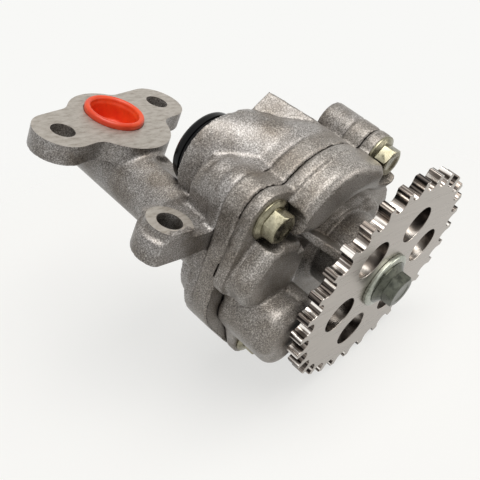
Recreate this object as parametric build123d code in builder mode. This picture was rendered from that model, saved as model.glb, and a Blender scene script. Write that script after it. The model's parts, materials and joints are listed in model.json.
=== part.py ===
"""Chain-driven external gear oil pump with a bolted front cover.

The origin is the centre of the outlet port on the mounting face. +Z points out of the
mounting face, up into the engine block. The drive axis is parallel to Y and the chain
sprocket is at the -Y end. Sizes are in millimetres.
"""

import os
from math import acos, cos, hypot, pi, radians, sin, tan

from build123d import *

os.makedirs("parts", exist_ok=True)

# Drive axis and sprocket face, seen from the origin
axis_x = 54.5
axis_z = -15.5
sprocket_face_y = -106.0

# Fits: radial gap of a fixed seat, of a running journal and of a pulled-out plug
seat_gap = 0.02
running_gap = 0.04
plug_gap = 0.06

# Chain sprocket
sprocket_teeth = 30
chain_pitch = 9.525
roller_radius = 3.175
sprocket_thickness = 5.3
tooth_height = 2.2
tooth_land = 2.4
lightening_holes = 6
lightening_radius = 7.9
lightening_circle = 25.4
lightening_angle = 83.0

# Drive shaft, its bushes and the bolt that holds the sprocket
nose_radius = 7.5
nose_flats = 12.0
nose_recess = 0.4
shaft_radius = 9.0
shaft_end_chamfer = 1.0
bush_wall = 2.0
bush_boss_wall = 4.5
sprocket_bolt_radius = 4.0
sprocket_bolt_length = 24.0
sprocket_bolt_hex = 12.0
sprocket_bolt_hex_height = 5.6
sprocket_bolt_hex_angle = 8.7
sprocket_washer_radius = 12.1
sprocket_washer_thickness = 2.2
washer_bore_gap = 0.3
washer_chamfer = 0.8
sprocket_bolt_flange_radius = 9.6
sprocket_bolt_flange_thickness = 1.2

# Stations behind the sprocket face, where the castings meet
hub_front = 7.0
cover_face = 26.0
cover_back = 31.0
body_back = 38.5
flange_back = 43.0
block_back = 50.0
dome_back = 62.0

# Pump gears
gear_teeth = 10
gear_module = 3.5
pressure_angle = 27.0
backlash = 0.12
root_clearance = 0.9
gear_width = 14.8
gear_side_gap = 0.1
tip_gap = 0.1
idler_direction = 196.0
idler_shaft_radius = 7.0
idler_shaft_seat = 10.0
idler_shaft_chamfer = 0.6
key_width = 4.0
key_height = 4.0
key_length = 10.0
key_depth = 2.4

# Cover bolts: x and z from the drive axis, then the radius of the boss round each
bolt_1 = (-56.0, 23.5, 10.5)
bolt_2 = (1.0, 40.0, 8.2)
bolt_3 = (-30.0, -39.5, 9.4)
bolt_4 = (26.5, -23.0, 9.5)
cover_bolt_radius = 4.0
cover_bolt_length = 22.0
cover_bolt_hex = 10.0
cover_bolt_hex_height = 4.9
cover_bolt_hex_angle = 53.9
cover_bolt_flange_radius = 8.0
cover_bolt_flange_thickness = 1.6
bolt_hole_radius = 4.5
bolt_head_room = 0.5
dowel_radius = 6.0
dowel_depth = 3.0

# Castings round the gears: x and z from the drive axis, then a radius
idler_wall_radius = 29.4
right_wall = (12.0, 2.0, 23.5)
top_bulge = (-25.0, 17.5, 28.0)
bolt_2_root = (6.0, 22.0, 10.0)
block_idler_radius = 25.0
block_drive_radius = 27.0

# Front cover's flange, chambers and bosses
cover_idler_radius = 22.0
cover_idler_root = 12.0
lug_foot = (-60.5, -1.0, 6.5)
suction_bulge = (-25.0, 17.5, 27.1)
suction_end = (2.0, 32.5, 6.5)
suction_hollow = (-8.0, -2.0, 29.5)
suction_foot_z = 19.5
suction_corner = 4.0
delivery_circles = (
    (-53.0, 9.0, 8.0), (-57.0, 1.0, 8.0), (-55.0, -3.0, 7.0), (-43.0, 7.0, 8.0), (-42.0, -1.0, 8.0),
)
left_boss_circles = ((-46.5, -14.5, 8.0), (-43.0, -18.0, 12.2), (-38.0, -26.0, 10.0))
right_boss_circles = ((-35.5, -13.0, 7.5), (-33.0, -21.0, 12.5), (-26.0, -21.0, 9.0))
rim_circles = ((10.0, 3.0, 15.5), (14.0, -6.0, 12.0))
hub_radius = 16.5
hub_flare_radius = 20.5
hub_flare_height = 2.5

# Stations of the chambers and bosses, and the rounding of their rims
suction_front = 17.0
suction_rounding = 3.8
delivery_front = 17.5
delivery_rounding = 3.6
left_boss_front = 6.6
right_boss_front = 8.2
boss_rounding = 5.0
rim_front = 21.0
rim_rounding = 3.0
rib_direction = 158.0
rib_thickness = 3.4
rib_foot = (34.5, 27.0)
rib_tip = (24.0, 8.0)
bolt_1_boss_back = 54.0
bolt_2_boss_back = 51.0

# Mounting flange, its two ears and the outlet port
flange_thickness = 8.0
flange_hole_spacing = 57.2
flange_angle = 11.9
flange_hole_radius = 4.5
ear_radius = 11.0
lobe_radius = 20.0
lobe_offset_y = -3.8
waist_radius = 7.0
port_radius = 10.0
port_recess_radius = 11.9
port_recess_depth = 0.8
duct_radius = 12.5
duct_bore = 7.5
duct_depth = 14.5
duct_end_y = 12.0
duct_front_wall = 6.0

# Third mounting boss on its plate beside the housing
boss_x = -26.9
boss_y = -61.3
boss_radius = 8.0
boss_height = 3.4
plate_thickness = 8.6
boss_depth = 12.5
boss_body_radius = 9.8
plate_front_y = -71.0
plate_rear_y = -48.0
plate_right_x = -4.0
plate_step_x = -12.8
plate_gap = 0.2
plate_corner_radius = 1.5

# Dome behind the gears that carries the suction port, with a sharp fin on its right
dome_front = 44.0
dome_radius = 17.2
shoulder_front = (-30.0, 32.5, 12.5)
shoulder_back = (-40.5, 30.5, 12.0)
fin_front_corners = ((-30.0, 36.0), (-20.0, 46.0), (-8.0, 40.0), (-10.0, 20.0))
fin_back_corners = ((-42.0, 35.7), (-28.5, 48.4), (-12.0, 38.0), (-14.0, 18.0))

# Suction port and its cap, from the drive axis
suction_x = -47.0
suction_z = 24.2
suction_radius = 11.0
suction_depth = 7.0
cap_radius = 14.4
cap_thickness = 6.8
cap_room = 0.4
cap_seat_gap = 0.05
cap_rounding = 2.4
cap_travel = 10.0
cap_stem_length = 6.0
cap_wall = 1.6

# Outlet plug
plug_rim_radius = 11.6
plug_rim_height = 2.4
plug_rim_rounding = 0.9
plug_wall = 1.2
plug_stem_length = 8.0
plug_floor = 1.2

# Relief valve, from the drive axis
relief_x = 24.0
relief_z = 12.0
relief_boss_radius = 10.5
relief_back = 72.0
relief_bore = 6.5
relief_seat_station = 48.0
relief_inlet_radius = 4.0
piston_length = 10.5
piston_wall = 1.4
piston_floor = 2.0
relief_travel = 5.0
plug_thread_radius = 7.6
plug_thread_length = 8.0
relief_plug_hex = 17.0
relief_plug_hex_height = 6.0
relief_washer_thickness = 1.2
relief_washer_radius = 9.6
spring_wire = 0.7
spring_turns = 6


def station(distance):
    """Plane across the drive axis, this far behind the sprocket's front face."""
    origin = (axis_x, sprocket_face_y + distance, axis_z)
    return Plane(origin=origin, x_dir=(1, 0, 0), z_dir=(0, -1, 0))


pitch_radius = chain_pitch / (2 * sin(pi / sprocket_teeth))
sprocket_radius = pitch_radius + tooth_height
gear_pitch_radius = gear_module * gear_teeth / 2
gear_tip_radius = gear_pitch_radius + gear_module
gear_root_radius = gear_pitch_radius - gear_module - root_clearance
pocket_radius = gear_tip_radius + tip_gap
centre_distance = 2 * gear_pitch_radius
idler_x = centre_distance * cos(radians(idler_direction))
idler_z = centre_distance * sin(radians(idler_direction))
gear_front = cover_back + gear_side_gap
gear_back = gear_front + gear_width
pocket_back = gear_back + gear_side_gap
bolt_list = (bolt_1, bolt_2, bolt_3, bolt_4)
dowel_bolts = (bolt_1, bolt_4)
bush_radius = shaft_radius + bush_wall
shaft_back = pocket_back + 12.0
idler_shaft_front = cover_back - idler_shaft_seat
idler_shaft_back = pocket_back + idler_shaft_seat
flange_hole_x = flange_hole_spacing / 2 * cos(radians(flange_angle))
flange_hole_y = flange_hole_spacing / 2 * sin(radians(flange_angle))

# Chain sprocket: a flat plate wheel with roller seats cut between its teeth
with BuildPart() as sprocket:
    with BuildSketch(station(sprocket_thickness)):
        Circle(sprocket_radius)
        gap_half_width = pi * sprocket_radius / sprocket_teeth - tooth_land / 2
        with PolarLocations(pitch_radius, sprocket_teeth):
            Circle(roller_radius, mode=Mode.SUBTRACT)
            Polygon(
                (0, -roller_radius), (tooth_height + 1, -gap_half_width),
                (tooth_height + 1, gap_half_width), (0, roller_radius),
                align=None, mode=Mode.SUBTRACT,
            )
        with PolarLocations(lightening_circle, lightening_holes, lightening_angle):
            Circle(lightening_radius, mode=Mode.SUBTRACT)
    extrude(amount=sprocket_thickness)
    with BuildSketch(station(sprocket_thickness)):
        Circle(nose_radius + seat_gap)
        Rectangle(2 * nose_radius + 1, nose_flats + 2 * seat_gap, mode=Mode.INTERSECT)
    extrude(amount=sprocket_thickness, mode=Mode.SUBTRACT)
sprocket.part.label = "sprocket"

# Drive shaft: two flats on its nose carry the sprocket, a key carries the gear
with BuildPart() as drive_shaft:
    with BuildSketch(station(shaft_back)):
        Circle(shaft_radius)
    extrude(amount=shaft_back - sprocket_thickness)
    with BuildSketch(station(sprocket_thickness)):
        Circle(nose_radius)
        Rectangle(2 * nose_radius + 1, nose_flats, mode=Mode.INTERSECT)
    extrude(amount=sprocket_thickness - nose_recess)
    chamfer(drive_shaft.faces().sort_by(Axis.Y)[-1].edges(), shaft_end_chamfer)
    with BuildSketch(station(sprocket_bolt_length + 2)):
        Circle(sprocket_bolt_radius + seat_gap)
    extrude(amount=sprocket_bolt_length + 2, mode=Mode.SUBTRACT)
    with BuildSketch(station((gear_front + gear_back + key_length) / 2)):
        with Locations((0, shaft_radius - key_depth / 2 + 1)):
            Rectangle(key_width + 2 * seat_gap, key_depth + 2)
    extrude(amount=key_length, mode=Mode.SUBTRACT)
drive_shaft.part.label = "drive_shaft"

# Parallel key between the shaft and its gear
with BuildPart() as gear_key:
    with BuildSketch(station((gear_front + gear_back + key_length) / 2 - seat_gap)):
        with Locations((0, shaft_radius - key_depth + key_height / 2 + seat_gap)):
            Rectangle(key_width, key_height)
    extrude(amount=key_length - 2 * seat_gap)
gear_key.part.label = "gear_key"


def involute(angle):
    """Tangent of an angle less the angle itself."""
    return tan(angle) - angle


def flank_point(radius):
    """Point of a tooth's left flank at this radius, with the tooth centred on local X."""
    base_radius = gear_pitch_radius * cos(radians(pressure_angle))
    at_pitch = pi / (2 * gear_teeth) - backlash / (2 * gear_pitch_radius)
    turned = involute(radians(pressure_angle)) - involute(acos(min(1.0, base_radius / radius)))
    half_angle = at_pitch + turned
    return (radius * cos(half_angle), radius * sin(half_angle))


def gear_tooth():
    """One tooth centred on local X, with a root that reaches inside the gear's disc."""
    base_radius = gear_pitch_radius * cos(radians(pressure_angle))
    steps = 5
    radii = [base_radius + (gear_tip_radius - base_radius) * i / steps for i in range(steps + 1)]
    left = [flank_point(radius) for radius in radii]
    right = [(x, -y) for x, y in left]
    with BuildSketch() as tooth:
        with BuildLine():
            Spline(*left)
            ThreePointArc(left[-1], (gear_tip_radius, 0), right[-1])
            Spline(*reversed(right))
            Polyline(right[0], (1, -1), (1, 1), left[0])
        make_face()
    return tooth.sketch


tooth_face = gear_tooth()


def gear_profile(turn):
    """Root disc and all teeth of a pump gear, turned by an angle in degrees."""
    with BuildSketch() as profile:
        Circle(gear_root_radius)
        with PolarLocations(0, gear_teeth, turn):
            add(tooth_face)
    return profile.sketch


# Drive gear, a tooth on the line of centres
with BuildPart() as drive_gear:
    with BuildSketch(station(gear_back)):
        add(gear_profile(idler_direction))
        Circle(shaft_radius + seat_gap, mode=Mode.SUBTRACT)
        with Locations((0, shaft_radius - key_depth + key_height / 2)):
            Rectangle(key_width + 2 * seat_gap, key_height + 4 * seat_gap, mode=Mode.SUBTRACT)
    extrude(amount=gear_width)
drive_gear.part.label = "drive_gear"

# Idler gear, a gap on the line of centres
with BuildPart() as idler_gear:
    with BuildSketch(station(gear_back)):
        with Locations((idler_x, idler_z)):
            add(gear_profile(idler_direction + 180 + 180 / gear_teeth))
            Circle(idler_shaft_radius + bush_wall + seat_gap, mode=Mode.SUBTRACT)
    extrude(amount=gear_width)
idler_gear.part.label = "idler_gear"

# Bush pressed into the idler gear, and the fixed shaft that it turns on
with BuildPart() as idler_bush:
    with BuildSketch(station(gear_back - gear_side_gap)):
        with Locations((idler_x, idler_z)):
            Circle(idler_shaft_radius + bush_wall)
            Circle(idler_shaft_radius + running_gap, mode=Mode.SUBTRACT)
    extrude(amount=gear_width - 2 * gear_side_gap)
idler_bush.part.label = "idler_bush"

with BuildPart() as idler_shaft:
    with BuildSketch(station(idler_shaft_back)):
        with Locations((idler_x, idler_z)):
            Circle(idler_shaft_radius)
    extrude(amount=idler_shaft_back - idler_shaft_front)
    chamfer(idler_shaft.edges().filter_by(GeomType.CIRCLE), idler_shaft_chamfer)
idler_shaft.part.label = "idler_shaft"


def bush(front, back):
    """Plain bush round the drive shaft between two stations."""
    with BuildPart() as ring:
        with BuildSketch(station(back)):
            Circle(bush_radius)
            Circle(shaft_radius + running_gap, mode=Mode.SUBTRACT)
        extrude(amount=back - front)
    return ring.part


front_bush = bush(hub_front + 2, cover_back - 1)
front_bush.label = "front_bush"
rear_bush = bush(pocket_back + 1, shaft_back - 1)
rear_bush.label = "rear_bush"

def hulled(plane, circles):
    """Sketch of the hull round circles given as x, z and radius."""
    with BuildSketch(plane) as outline:
        for x, z, radius in circles:
            with Locations((x, z)):
                Circle(radius)
        make_hull()
    return outline.sketch


def lump(outline, back, front, rounding):
    """Outline raised forward between two stations, its front rim rounded."""
    with BuildPart() as form:
        extrude(outline, amount=back - front)
        fillet(form.faces().sort_by(Axis.Y)[0].edges(), rounding)
    return form.part


def discs(plane, circles):
    """Sketch of round discs given as x, z and radius."""
    with BuildSketch(plane) as outline:
        for x, z, radius in circles:
            with Locations((x, z)):
                Circle(radius)
    return outline.sketch


def bolt_discs(distance, radius, places):
    """Discs of one radius at the given bolt places."""
    return discs(station(distance), [(x, z, radius) for x, z, boss in places])


idler_wall = (idler_x, idler_z, idler_wall_radius)
body_circles = (bolt_1, bolt_3, bolt_4, idler_wall, right_wall)
pocket_circles = ((0, 0, pocket_radius), (idler_x, idler_z, pocket_radius))
bush_seat = ((0, 0, bush_radius + seat_gap),)
idler_seat = ((idler_x, idler_z, idler_shaft_radius + seat_gap),)

# Centre body: the plate that holds the front half of the gear pocket
with BuildPart() as centre_body:
    plate_width = body_back - cover_back
    extrude(hulled(station(body_back), body_circles), amount=plate_width)
    extrude(hulled(station(body_back), (bolt_2, bolt_2_root)), amount=plate_width)
    extrude(discs(station(body_back), (top_bulge,)), amount=plate_width)
    extrude(discs(station(body_back), pocket_circles), amount=plate_width, mode=Mode.SUBTRACT)
    extrude(bolt_discs(body_back, bolt_hole_radius, bolt_list), amount=plate_width, mode=Mode.SUBTRACT)
    dowel_holes = bolt_discs(body_back, dowel_radius + seat_gap, dowel_bolts)
    extrude(dowel_holes, amount=plate_width, mode=Mode.SUBTRACT)
centre_body.part.label = "centre_body"

# Lumps that stand forward of the front cover's flange
with BuildSketch(station(cover_back)) as suction_outline:
    for x, z, radius in (suction_bulge, suction_end):
        with Locations((x, z)):
            Circle(radius)
    make_hull()
    with Locations(suction_hollow[:2]):
        Circle(suction_hollow[2], mode=Mode.SUBTRACT)
    with Locations((suction_bulge[0], suction_foot_z)):
        reach = 4 * suction_bulge[2]
        Rectangle(reach, reach, align=(Align.CENTER, Align.MIN), mode=Mode.INTERSECT)
    fillet(suction_outline.vertices(), suction_corner)
suction_chamber = lump(suction_outline.sketch, cover_back, suction_front, suction_rounding)
lumps = [suction_chamber]
for circles, front, rounding in (
    (delivery_circles, delivery_front, delivery_rounding),
    (left_boss_circles, left_boss_front, boss_rounding),
    (right_boss_circles, right_boss_front, boss_rounding),
    (rim_circles, rim_front, rim_rounding),
):
    lumps.append(lump(hulled(station(cover_back), circles), cover_back, front, rounding))

# Front cover: flange, suction and delivery chambers, idler boss, shaft hub and its rib
with BuildPart() as front_cover:
    cover_width = cover_back - cover_face
    cover_circles = ((idler_x, idler_z, cover_idler_radius), bolt_3, bolt_4, bolt_1, right_wall)
    lug_circles = (bolt_1, lug_foot, (idler_x, idler_z, cover_idler_root))
    extrude(hulled(station(cover_back), cover_circles), amount=cover_width)
    extrude(hulled(station(cover_back), (bolt_2, bolt_2_root)), amount=cover_width)
    extrude(hulled(station(cover_back), lug_circles), amount=cover_width)
    extrude(discs(station(cover_back), (top_bulge,)), amount=cover_width)
    for raised in lumps:
        add(raised)

    # Shaft hub, flared into the flange, and the rib that slopes down from it
    extrude(discs(station(cover_back), ((0, 0, hub_radius),)), amount=cover_back - hub_front)
    extrude(discs(station(cover_face), ((0, 0, hub_flare_radius),)), amount=hub_flare_height, taper=45)
    rib_way = Vector(cos(radians(rib_direction)), 0, sin(radians(rib_direction)))
    rib_plane = Plane(origin=station(0).origin, x_dir=rib_way, z_dir=rib_way.cross(Vector(0, -1, 0)))
    with BuildSketch(rib_plane):
        Polygon(
            (0, -cover_face), (rib_foot[0], -cover_face), (rib_tip[0], -rib_tip[1]), (0, -rib_tip[1]),
            align=None,
        )
    extrude(amount=rib_thickness / 2, both=True)

    # Room for each bolt head, then the bolt holes, dowel seats and shaft bores
    head_rooms = bolt_discs(cover_face, cover_bolt_flange_radius + bolt_head_room, bolt_list)
    extrude(head_rooms, amount=cover_face, mode=Mode.SUBTRACT)
    extrude(bolt_discs(cover_back, bolt_hole_radius, bolt_list), amount=cover_width, mode=Mode.SUBTRACT)
    dowel_seats = bolt_discs(cover_back, dowel_radius + seat_gap, dowel_bolts)
    extrude(dowel_seats, amount=dowel_depth, mode=Mode.SUBTRACT)
    extrude(discs(station(cover_back), bush_seat), amount=cover_back, mode=Mode.SUBTRACT)
    extrude(discs(station(cover_back), idler_seat), amount=idler_shaft_seat + seat_gap, mode=Mode.SUBTRACT)
front_cover.part.label = "front_cover"

# Rear housing: gear pocket, suction dome, outlet duct, mounting flange and third boss
with BuildPart() as rear_housing:
    flange_width = flange_back - body_back
    extrude(hulled(station(flange_back), body_circles), amount=flange_width)
    extrude(hulled(station(flange_back), (bolt_2, bolt_2_root)), amount=flange_width)
    block_circles = (
        (idler_x, idler_z, block_idler_radius), (0, 0, block_drive_radius),
        (bolt_1[0], bolt_1[1], bolt_1[2] - 1), (bolt_3[0], bolt_3[1], bolt_3[2] - 1), bolt_4,
    )
    extrude(hulled(station(block_back), block_circles), amount=block_back - body_back)

    # Round band that narrows into the suction dome, and the fin on the dome
    extrude(discs(station(dome_front), (top_bulge,)), amount=dome_front - body_back)
    dome_circles = ((top_bulge, (suction_x, suction_z, dome_radius)), (shoulder_front, shoulder_back))
    for front_circle, back_circle in dome_circles:
        with BuildSketch(station(dome_front)):
            with Locations(front_circle[:2]):
                Circle(front_circle[2])
        with BuildSketch(station(dome_back)):
            with Locations(back_circle[:2]):
                Circle(back_circle[2])
        loft()
    with BuildSketch(station(dome_front)):
        Polygon(*fin_front_corners, align=None)
    with BuildSketch(station(dome_back)):
        Polygon(*fin_back_corners, align=None)
    loft()

    # Bosses behind the bolts, and the boss of the shaft's rear bush
    bolt_1_boss = (
        (bolt_1[0], bolt_1[1] - 2, bolt_1[2] - 1), (suction_x, suction_z - 2, suction_radius + 1),
        (-52.0, 8.0, 9.0),
    )
    extrude(hulled(station(bolt_1_boss_back), bolt_1_boss), amount=bolt_1_boss_back - body_back)
    extrude(discs(station(bolt_2_boss_back), (bolt_2,)), amount=bolt_2_boss_back - body_back)
    extrude(discs(station(dome_back), ((0, 0, bush_radius + bush_boss_wall),)), amount=dome_back - body_back)

    # Relief valve boss
    relief_boss = discs(station(relief_back), ((relief_x, relief_z, relief_boss_radius),))
    extrude(relief_boss, amount=relief_back - body_back)

    # Outlet duct under the flange
    duct_front_y = sprocket_face_y + flange_back
    with BuildSketch(Plane(origin=(0, duct_end_y, -duct_depth), x_dir=(1, 0, 0), z_dir=(0, -1, 0))):
        Circle(duct_radius)
    extrude(amount=duct_end_y - duct_front_y)
    with BuildSketch(Plane.XY) as flange:
        with Locations((0, lobe_offset_y)):
            Circle(lobe_radius)
        SlotCenterToCenter(flange_hole_spacing, 2 * ear_radius, rotation=flange_angle)
        corners = [v for v in flange.vertices() if hypot(v.X, v.Y - lobe_offset_y) < lobe_radius + 0.1]
        fillet(corners, waist_radius)
    extrude(amount=-flange_thickness)

    # Third boss on its plate
    plate_top = -boss_height
    plate_step_y = sprocket_face_y + body_back + plate_gap
    with BuildSketch(Plane.XY.offset(plate_top - plate_thickness)):
        with BuildLine():
            FilletPolyline(
                (boss_x, plate_front_y), (boss_x, plate_rear_y), (plate_right_x, plate_rear_y),
                (plate_right_x, plate_step_y), (plate_step_x, plate_step_y), (plate_step_x, plate_front_y),
                radius=plate_corner_radius, close=True,
            )
        make_face()
    extrude(amount=plate_thickness)
    with BuildSketch(Plane.XY.offset(plate_top)):
        with Locations((boss_x, boss_y)):
            Circle(boss_body_radius)
    extrude(amount=-boss_depth - plate_top)
    with BuildSketch(Plane.XY):
        with Locations((boss_x, boss_y)):
            Circle(boss_radius)
    extrude(amount=plate_top)

    # Gear pocket, bearing bores and bolt threads
    extrude(discs(station(pocket_back), pocket_circles), amount=pocket_back - body_back, mode=Mode.SUBTRACT)
    extrude(discs(station(shaft_back + 1), bush_seat), amount=shaft_back + 1 - body_back, mode=Mode.SUBTRACT)
    idler_hole = discs(station(idler_shaft_back + seat_gap), idler_seat)
    extrude(idler_hole, amount=idler_shaft_seat + 1, mode=Mode.SUBTRACT)
    thread_end = cover_face + cover_bolt_length + 1
    threads = bolt_discs(thread_end, cover_bolt_radius + seat_gap, bolt_list)
    extrude(threads, amount=thread_end - body_back, mode=Mode.SUBTRACT)
    dowel_seats = bolt_discs(body_back + dowel_depth, dowel_radius + seat_gap, dowel_bolts)
    extrude(dowel_seats, amount=dowel_depth, mode=Mode.SUBTRACT)

    # Suction port and the way its cap comes off
    cap_way = cap_thickness + cap_travel + 1
    cap_room_disc = discs(station(dome_back + cap_way), ((suction_x, suction_z, cap_radius + cap_room),))
    extrude(cap_room_disc, amount=cap_way, mode=Mode.SUBTRACT)
    suction_port = discs(station(dome_back), ((suction_x, suction_z, suction_radius),))
    extrude(suction_port, amount=suction_depth, mode=Mode.SUBTRACT)

    # Outlet port with a recess for the plug's rim, and the passage that feeds it
    with BuildSketch(Plane.XY):
        Circle(port_recess_radius)
    extrude(amount=-port_recess_depth, mode=Mode.SUBTRACT)
    with BuildSketch(Plane.XY):
        Circle(port_radius)
    extrude(amount=-duct_depth, mode=Mode.SUBTRACT)
    with BuildSketch(Plane(origin=(0, 0, -duct_depth), x_dir=(1, 0, 0), z_dir=(0, -1, 0))):
        Circle(duct_bore)
    extrude(amount=-duct_front_y - duct_front_wall, mode=Mode.SUBTRACT)

    # Relief bore with its thread and inlet
    relief_hole = discs(station(relief_back), ((relief_x, relief_z, relief_bore),))
    extrude(relief_hole, amount=relief_back - relief_seat_station, mode=Mode.SUBTRACT)
    relief_thread = discs(station(relief_back), ((relief_x, relief_z, plug_thread_radius + seat_gap),))
    extrude(relief_thread, amount=plug_thread_length, mode=Mode.SUBTRACT)
    relief_inlet = discs(station(relief_seat_station), ((relief_x, relief_z, relief_inlet_radius),))
    extrude(relief_inlet, amount=relief_seat_station - body_back, mode=Mode.SUBTRACT)

    # Mounting holes
    with BuildSketch(Plane.XY):
        with Locations((-flange_hole_x, -flange_hole_y), (flange_hole_x, flange_hole_y), (boss_x, boss_y)):
            Circle(flange_hole_radius)
    extrude(amount=-boss_depth - 1, mode=Mode.SUBTRACT)
rear_housing.part.label = "rear_housing"

# Ring dowels round two of the bolts
with BuildPart() as ring_dowels:
    dowel_end = body_back + dowel_depth - seat_gap
    dowel_length = dowel_end - (cover_back - dowel_depth + seat_gap)
    extrude(bolt_discs(dowel_end, dowel_radius, dowel_bolts), amount=dowel_length)
    extrude(bolt_discs(dowel_end, bolt_hole_radius, dowel_bolts), amount=dowel_length, mode=Mode.SUBTRACT)
ring_dowels.part.label = "ring_dowels"

# Cover bolts: hexagon, flange and shank
with BuildPart() as cover_bolts:
    flanges = bolt_discs(cover_face, cover_bolt_flange_radius, bolt_list)
    extrude(flanges, amount=cover_bolt_flange_thickness)
    with BuildSketch(station(cover_face - cover_bolt_flange_thickness)):
        for x, z, boss in bolt_list:
            with Locations((x, z)):
                RegularPolygon(
                    cover_bolt_hex / 2, 6, major_radius=False, rotation=cover_bolt_hex_angle
                )
    extrude(amount=cover_bolt_hex_height)
    shanks = bolt_discs(cover_face + cover_bolt_length, cover_bolt_radius, bolt_list)
    extrude(shanks, amount=cover_bolt_length)
cover_bolts.part.label = "cover_bolts"

# Sprocket washer and bolt
with BuildPart() as sprocket_washer:
    with BuildSketch(station(0)):
        Circle(sprocket_washer_radius)
        Circle(sprocket_bolt_radius + washer_bore_gap, mode=Mode.SUBTRACT)
    extrude(amount=sprocket_washer_thickness)
    outer_rim = sprocket_washer.faces().sort_by(Axis.Y)[0].edges().sort_by(SortBy.LENGTH)[-1]
    chamfer(outer_rim, washer_chamfer)
sprocket_washer.part.label = "sprocket_washer"

with BuildPart() as sprocket_bolt:
    head_station = -sprocket_washer_thickness
    with BuildSketch(station(head_station)):
        Circle(sprocket_bolt_flange_radius)
    extrude(amount=sprocket_bolt_flange_thickness)
    with BuildSketch(station(head_station - sprocket_bolt_flange_thickness)):
        RegularPolygon(sprocket_bolt_hex / 2, 6, major_radius=False, rotation=sprocket_bolt_hex_angle)
    extrude(amount=sprocket_bolt_hex_height)
    with BuildSketch(station(sprocket_bolt_length)):
        Circle(sprocket_bolt_radius)
    extrude(amount=sprocket_bolt_length + sprocket_washer_thickness)
sprocket_bolt.part.label = "sprocket_bolt"

# Relief valve: cup piston, spring, screw plug and sealing washer
with BuildPart() as relief_piston:
    with BuildSketch(station(relief_seat_station + piston_length)):
        with Locations((relief_x, relief_z)):
            Circle(relief_bore - running_gap)
    extrude(amount=piston_length)
    with BuildSketch(station(relief_seat_station + piston_length)):
        with Locations((relief_x, relief_z)):
            Circle(relief_bore - piston_wall)
    extrude(amount=piston_length - piston_floor, mode=Mode.SUBTRACT)
relief_piston.part.label = "relief_piston"

with BuildPart() as relief_plug:
    plug_station = relief_back + relief_washer_thickness + relief_plug_hex_height
    with BuildSketch(station(plug_station)):
        with Locations((relief_x, relief_z)):
            RegularPolygon(relief_plug_hex / 2, 6, major_radius=False)
    extrude(amount=relief_plug_hex_height)
    with BuildSketch(station(relief_back + relief_washer_thickness)):
        with Locations((relief_x, relief_z)):
            Circle(plug_thread_radius)
    extrude(amount=plug_thread_length + relief_washer_thickness - 0.5)
relief_plug.part.label = "relief_plug"

with BuildPart() as relief_washer:
    with BuildSketch(station(relief_back + relief_washer_thickness)):
        with Locations((relief_x, relief_z)):
            Circle(relief_washer_radius)
            Circle(plug_thread_radius + seat_gap, mode=Mode.SUBTRACT)
    extrude(amount=relief_washer_thickness)
relief_washer.part.label = "relief_washer"

spring_front = relief_seat_station + piston_floor
spring_back = relief_back - plug_thread_length + 0.5
spring_length = spring_back - spring_front - 2 * spring_wire - 0.2
spring_radius = relief_bore - piston_wall - spring_wire - 0.3
with BuildPart() as relief_spring:
    spring_start = station(spring_back - spring_wire - 0.1)
    coil = Helix(spring_length / spring_turns, spring_length, spring_radius)
    coil = spring_start * Pos(relief_x, relief_z, 0) * coil
    with BuildLine():
        add(coil)
    with BuildSketch(Plane(origin=coil @ 0, z_dir=coil % 0)):
        Circle(spring_wire)
    sweep(is_frenet=True)
relief_spring.part.label = "relief_spring"

# Outlet plug: a soft cup with a rolled rim that stands on the flange
with BuildPart() as outlet_plug:
    with BuildSketch(Plane.XZ):
        with BuildLine():
            inner = port_radius - plug_gap - plug_wall
            outer = port_radius - plug_gap
            rim_foot = seat_gap - port_recess_depth
            cup_floor = plug_floor - plug_stem_length
            Polyline(
                (0, -plug_stem_length), (outer, -plug_stem_length), (outer, rim_foot),
                (plug_rim_radius, rim_foot), (plug_rim_radius, plug_rim_height), (inner, plug_rim_height),
                (inner, cup_floor), (0, cup_floor), (0, -plug_stem_length),
            )
        make_face()
    revolve(axis=Axis.Z)
    rim_edges = outlet_plug.edges().filter_by(GeomType.CIRCLE).group_by(Axis.Z)[-1]
    fillet(rim_edges, plug_rim_rounding)
outlet_plug.part.label = "outlet_plug"

# Suction cap: a disc with a hollow stem in the suction port
with BuildPart() as suction_cap:
    with BuildSketch(station(dome_back + cap_thickness)):
        with Locations((suction_x, suction_z)):
            Circle(cap_radius)
    extrude(amount=cap_thickness - cap_seat_gap)
    fillet(suction_cap.faces().sort_by(Axis.Y)[-1].edges(), cap_rounding)
    with BuildSketch(station(dome_back + 1)):
        with Locations((suction_x, suction_z)):
            Circle(suction_radius - plug_gap)
    extrude(amount=cap_stem_length + 1)
    with BuildSketch(station(dome_back + 1)):
        with Locations((suction_x, suction_z)):
            Circle(suction_radius - plug_gap - cap_wall)
    extrude(amount=cap_stem_length + 1, mode=Mode.SUBTRACT)
suction_cap.part.label = "suction_cap"

pieces = {
    "sprocket": sprocket.part,
    "drive_shaft": drive_shaft.part,
    "gear_key": gear_key.part,
    "drive_gear": drive_gear.part,
    "idler_gear": idler_gear.part,
    "idler_bush": idler_bush.part,
    "idler_shaft": idler_shaft.part,
    "front_bush": front_bush,
    "rear_bush": rear_bush,
    "centre_body": centre_body.part,
    "front_cover": front_cover.part,
    "rear_housing": rear_housing.part,
    "ring_dowels": ring_dowels.part,
    "cover_bolts": cover_bolts.part,
    "sprocket_washer": sprocket_washer.part,
    "sprocket_bolt": sprocket_bolt.part,
    "relief_piston": relief_piston.part,
    "relief_plug": relief_plug.part,
    "relief_washer": relief_washer.part,
    "relief_spring": relief_spring.part,
    "outlet_plug": outlet_plug.part,
    "suction_cap": suction_cap.part,
}
for name, solid in pieces.items():
    export_step(solid, f"parts/{name}.step")
    print(name, len(solid.solids()), round(solid.volume))
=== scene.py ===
import json
import math

import bpy
from mathutils import Matrix, Vector

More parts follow.
